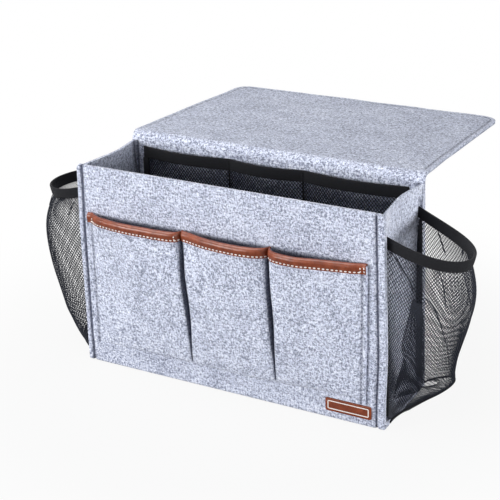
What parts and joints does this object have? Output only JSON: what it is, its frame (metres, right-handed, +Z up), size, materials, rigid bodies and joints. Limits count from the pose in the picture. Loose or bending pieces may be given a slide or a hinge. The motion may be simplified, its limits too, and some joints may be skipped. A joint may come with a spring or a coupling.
{
  "type": "bedside caddy",
  "caption": "Open felt box with a mattress flap, pleated front pockets with leather bindings, net bags at its sides and a net pocket inside, to hang at a bedside.",
  "frame": {"origin": "middle of the box's underside", "axes": "+X to the right seen from the front, +Y towards the bed, +Z up"},
  "size_m": [0.4829, 0.3444, 0.2286],
  "materials": {
    "felt": "matte heathered grey felt",
    "leather": "smooth brown leather with a soft sheen",
    "net": "fine black net",
    "binding": "black woven tape"
  },
  "bodies": {
    "box": {"front_panel": "felt", "back_panel": "felt", "base_panel": "felt", "left_side_panel": "felt", "right_side_panel": "felt", "front_pocket_sheet": "felt", "left_pocket_binding": "leather", "middle_pocket_binding": "leather", "right_pocket_binding": "leather", "leather_label": "leather", "inner_net": "net", "inner_net_band": "binding", "inner_net_left_tape": "binding", "inner_net_right_tape": "binding", "inner_net_floor_tape": "binding", "left_net_bag": "net", "right_net_bag": "net", "left_net_rim": "binding", "right_net_rim": "binding", "left_net_front_tape": "binding", "right_net_front_tape": "binding", "left_net_back_tape": "binding", "right_net_back_tape": "binding"},
    "flap": {"mattress_flap": "felt"}
  },
  "joints": [
    {"name": "flap_fold", "type": "hinge", "parent": "box", "child": "flap", "pos_m": [0, 0.0493, 0.2246], "axis": [1, 0, 0], "range_deg": [-86, 182]}
  ]
}
